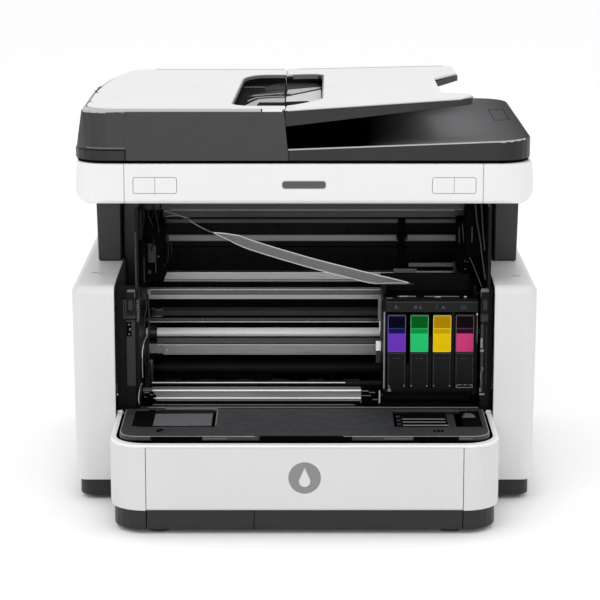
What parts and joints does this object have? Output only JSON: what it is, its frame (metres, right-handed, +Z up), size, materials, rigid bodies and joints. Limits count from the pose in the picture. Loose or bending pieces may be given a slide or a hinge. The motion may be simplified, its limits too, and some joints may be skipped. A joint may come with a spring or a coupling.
{
  "type": "inkjet printer",
  "caption": "All-in-one inkjet printer with an automatic document feeder, flatbed scanner, drop-down front door over an ink cartridge bay, and a front paper cassette.",
  "frame": {"origin": "centre of the footprint, on the surface the printer stands on", "axes": "+Z up, the front with the cassette and door faces -Y, +X to the right seen from the front"},
  "size_m": [0.448, 0.452, 0.3953],
  "materials": {
    "dark_plastic": "fine moulded texture",
    "rubber": "matte",
    "white_plastic": "fine moulded texture",
    "frame_black": "satin moulded",
    "rod_chrome": "ground and polished",
    "frame_steel": "zinc-plated sheet",
    "leg_plastic": "satin",
    "inlet_black": "moulded",
    "screw_steel": "plated",
    "film": "printed polyester film",
    "ribbon": "laminated flat cable",
    "panel_white": "fine moulded texture",
    "glass": "clear float glass",
    "window_black": "smoked window",
    "liner_dark": "satin moulded",
    "emblem_grey": "printed",
    "guide_grey": "satin",
    "ink_violet": "labelled cartridge",
    "ink_green": "labelled cartridge",
    "ink_yellow": "labelled cartridge",
    "ink_magenta": "labelled cartridge",
    "roller_grey": "ground rubber on a steel shaft",
    "gear_nylon": "natural nylon",
    "lid_dark": "fine moulded texture",
    "backing_white": "white foam-backed film",
    "key_white": "satin"
  },
  "bodies": {
    "chassis": {"base_frame": "dark_plastic", "rubber_feet": "rubber", "left_side_cover": "white_plastic", "right_side_cover": "white_plastic", "left_front_corner": "white_plastic", "right_front_corner": "white_plastic", "output_shelf": "dark_plastic", "left_side_frame": "frame_black", "right_side_frame": "frame_black", "rear_bulkhead": "frame_black", "rear_cover": "dark_plastic", "crossmembers": "frame_black", "carriage_rod": "rod_chrome", "rear_rail": "frame_steel", "print_platen": "frame_black", "paper_guide_bar": "frame_steel", "door_hinge_pins": "frame_steel", "scanner_supports": "leg_plastic", "service_station": "frame_black", "carriage_motor": "frame_steel", "power_inlet": "inlet_black", "frame_screws": "screw_steel", "timing_belt": "rubber", "encoder_strip": "film", "flex_cable": "ribbon", "scanner_housing": "white_plastic", "scanner_front_panel": "panel_white", "platen_glass": "glass", "status_window": "window_black"},
    "front_door": {"door_outer_shell": "white_plastic", "door_liner": "liner_dark"},
    "cassette": {"cassette_tray": "dark_plastic", "cassette_front": "white_plastic", "front_emblem": "emblem_grey"},
    "guide_left": {"left_paper_guide": "guide_grey"},
    "guide_right": {"right_paper_guide": "guide_grey"},
    "length_stop": {"paper_length_stop": "guide_grey"},
    "lift": {"lift_plate": "frame_steel"},
    "carriage": {"carriage_frame": "frame_black"},
    "ink_violet": {"cartridge_violet": "ink_violet"},
    "ink_green": {"cartridge_green": "ink_green"},
    "ink_yellow": {"cartridge_yellow": "ink_yellow"},
    "ink_magenta": {"cartridge_magenta": "ink_magenta"},
    "feed_shaft": {"feed_roller": "roller_grey"},
    "transfer": {"transfer_gear": "gear_nylon"},
    "exit_shaft": {"exit_roller": "roller_grey"},
    "belt_drive": {"drive_pulley": "frame_steel"},
    "belt_idler": {"idler_pulley": "frame_steel"},
    "scan_head": {"scan_bar": "frame_black"},
    "lid": {"lid_base": "lid_dark", "lid_backing": "backing_white", "feeder_body": "lid_dark"},
    "hatch": {"feeder_hatch": "white_plastic"},
    "input_tray": {"feeder_tray_top": "white_plastic", "feeder_tray_frame": "lid_dark"},
    "pick_shaft": {"feeder_pick_roller": "rubber"},
    "key_left": {"button_left": "key_white"},
    "key_right": {"button_right": "key_white"},
    "back_access": {"rear_door": "dark_plastic"}
  },
  "joints": [
    {"name": "front_door_hinge", "type": "hinge", "parent": "chassis", "child": "front_door", "pos_m": [0, -0.106, 0.084], "axis": [-1, 0, 0], "range_deg": [0, 90]},
    {"name": "cassette_slide", "type": "slide", "parent": "chassis", "child": "cassette", "axis": [0, -1, 0], "range_m": [0, 0.2]},
    {"name": "guide_left_slide", "type": "slide", "parent": "cassette", "child": "guide_left", "axis": [-1, 0, 0], "range_m": [-0.05, 0]},
    {"name": "guide_right_slide", "type": "slide", "parent": "cassette", "child": "guide_right", "axis": [1, 0, 0], "range_m": [-0.05, 0]},
    {"name": "length_stop_slide", "type": "slide", "parent": "cassette", "child": "length_stop", "axis": [0, 1, 0], "range_m": [0, 0.035]},
    {"name": "lift_plate_hinge", "type": "hinge", "parent": "cassette", "child": "lift", "pos_m": [0, -0.15, 0.0134], "axis": [1, 0, 0], "range_deg": [0, 7]},
    {"name": "carriage_slide", "type": "slide", "parent": "chassis", "child": "carriage", "axis": [-1, 0, 0], "range_m": [0, 0.225], "deforming": ["flex_cable"]},
    {"name": "cartridge_violet_slide", "type": "slide", "parent": "carriage", "child": "ink_violet", "axis": [0, 1, 0], "range_m": [-0.07, 0]},
    {"name": "cartridge_green_slide", "type": "slide", "parent": "carriage", "child": "ink_green", "axis": [0, 1, 0], "range_m": [-0.07, 0]},
    {"name": "cartridge_yellow_slide", "type": "slide", "parent": "carriage", "child": "ink_yellow", "axis": [0, 1, 0], "range_m": [-0.07, 0]},
    {"name": "cartridge_magenta_slide", "type": "slide", "parent": "carriage", "child": "ink_magenta", "axis": [0, 1, 0], "range_m": [-0.07, 0]},
    {"name": "feed_spin", "type": "hinge", "parent": "chassis", "child": "feed_shaft", "pos_m": [0, 0.045, 0.095], "axis": [1, 0, 0], "continuous": true},
    {"name": "transfer_spin", "type": "hinge", "parent": "chassis", "child": "transfer", "pos_m": [0, 0.01, 0.095], "axis": [1, 0, 0], "continuous": true},
    {"name": "exit_spin", "type": "hinge", "parent": "chassis", "child": "exit_shaft", "pos_m": [0, -0.025, 0.095], "axis": [1, 0, 0], "continuous": true},
    {"name": "belt_drive_spin", "type": "hinge", "parent": "chassis", "child": "belt_drive", "pos_m": [0.163, 0.0255, 0.155], "axis": [0, 0, 1], "continuous": true},
    {"name": "belt_idler_spin", "type": "hinge", "parent": "chassis", "child": "belt_idler", "pos_m": [-0.15, 0.0255, 0.155], "axis": [0, 0, 1], "continuous": true},
    {"name": "scan_head_slide", "type": "slide", "parent": "chassis", "child": "scan_head", "axis": [1, 0, 0], "range_m": [0, 0.27]},
    {"name": "lid_hinge", "type": "hinge", "parent": "chassis", "child": "lid", "pos_m": [0, 0.22, 0.337], "axis": [-1, 0, 0], "range_deg": [0, 70]},
    {"name": "hatch_hinge", "type": "hinge", "parent": "lid", "child": "hatch", "pos_m": [-0.2064, 0, 0.3819], "axis": [0, -1, 0], "range_deg": [0, 80]},
    {"name": "input_tray_hinge", "type": "hinge", "parent": "lid", "child": "input_tray", "pos_m": [-0.0135, 0, 0.378], "axis": [0, -1, 0], "range_deg": [0, 70]},
    {"name": "pick_spin", "type": "hinge", "parent": "lid", "child": "pick_shaft", "pos_m": [-0.052, 0, 0.3645], "axis": [0, 1, 0], "continuous": true},
    {"name": "key_left_press", "type": "slide", "parent": "chassis", "child": "key_left", "axis": [0, 1, 0], "range_m": [0, 0.0008], "stiffness_N_per_m": 800},
    {"name": "key_right_press", "type": "slide", "parent": "chassis", "child": "key_right", "axis": [0, 1, 0], "range_m": [0, 0.0008], "stiffness_N_per_m": 800},
    {"name": "back_access_hinge", "type": "hinge", "parent": "chassis", "child": "back_access", "pos_m": [0, 0.2239, 0.074], "axis": [-1, 0, 0], "range_deg": [0, 80]}
  ],
  "couplings": [
    {"joint": "guide_right_slide", "follows": "guide_left_slide", "ratio": 1},
    {"joint": "transfer_spin", "follows": "feed_spin", "ratio": -1.3333},
    {"joint": "exit_spin", "follows": "feed_spin", "ratio": 1},
    {"joint": "belt_drive_spin", "follows": "carriage_slide", "rad_per_m": -166.67},
    {"joint": "belt_idler_spin", "follows": "carriage_slide", "rad_per_m": -166.67}
  ]
}
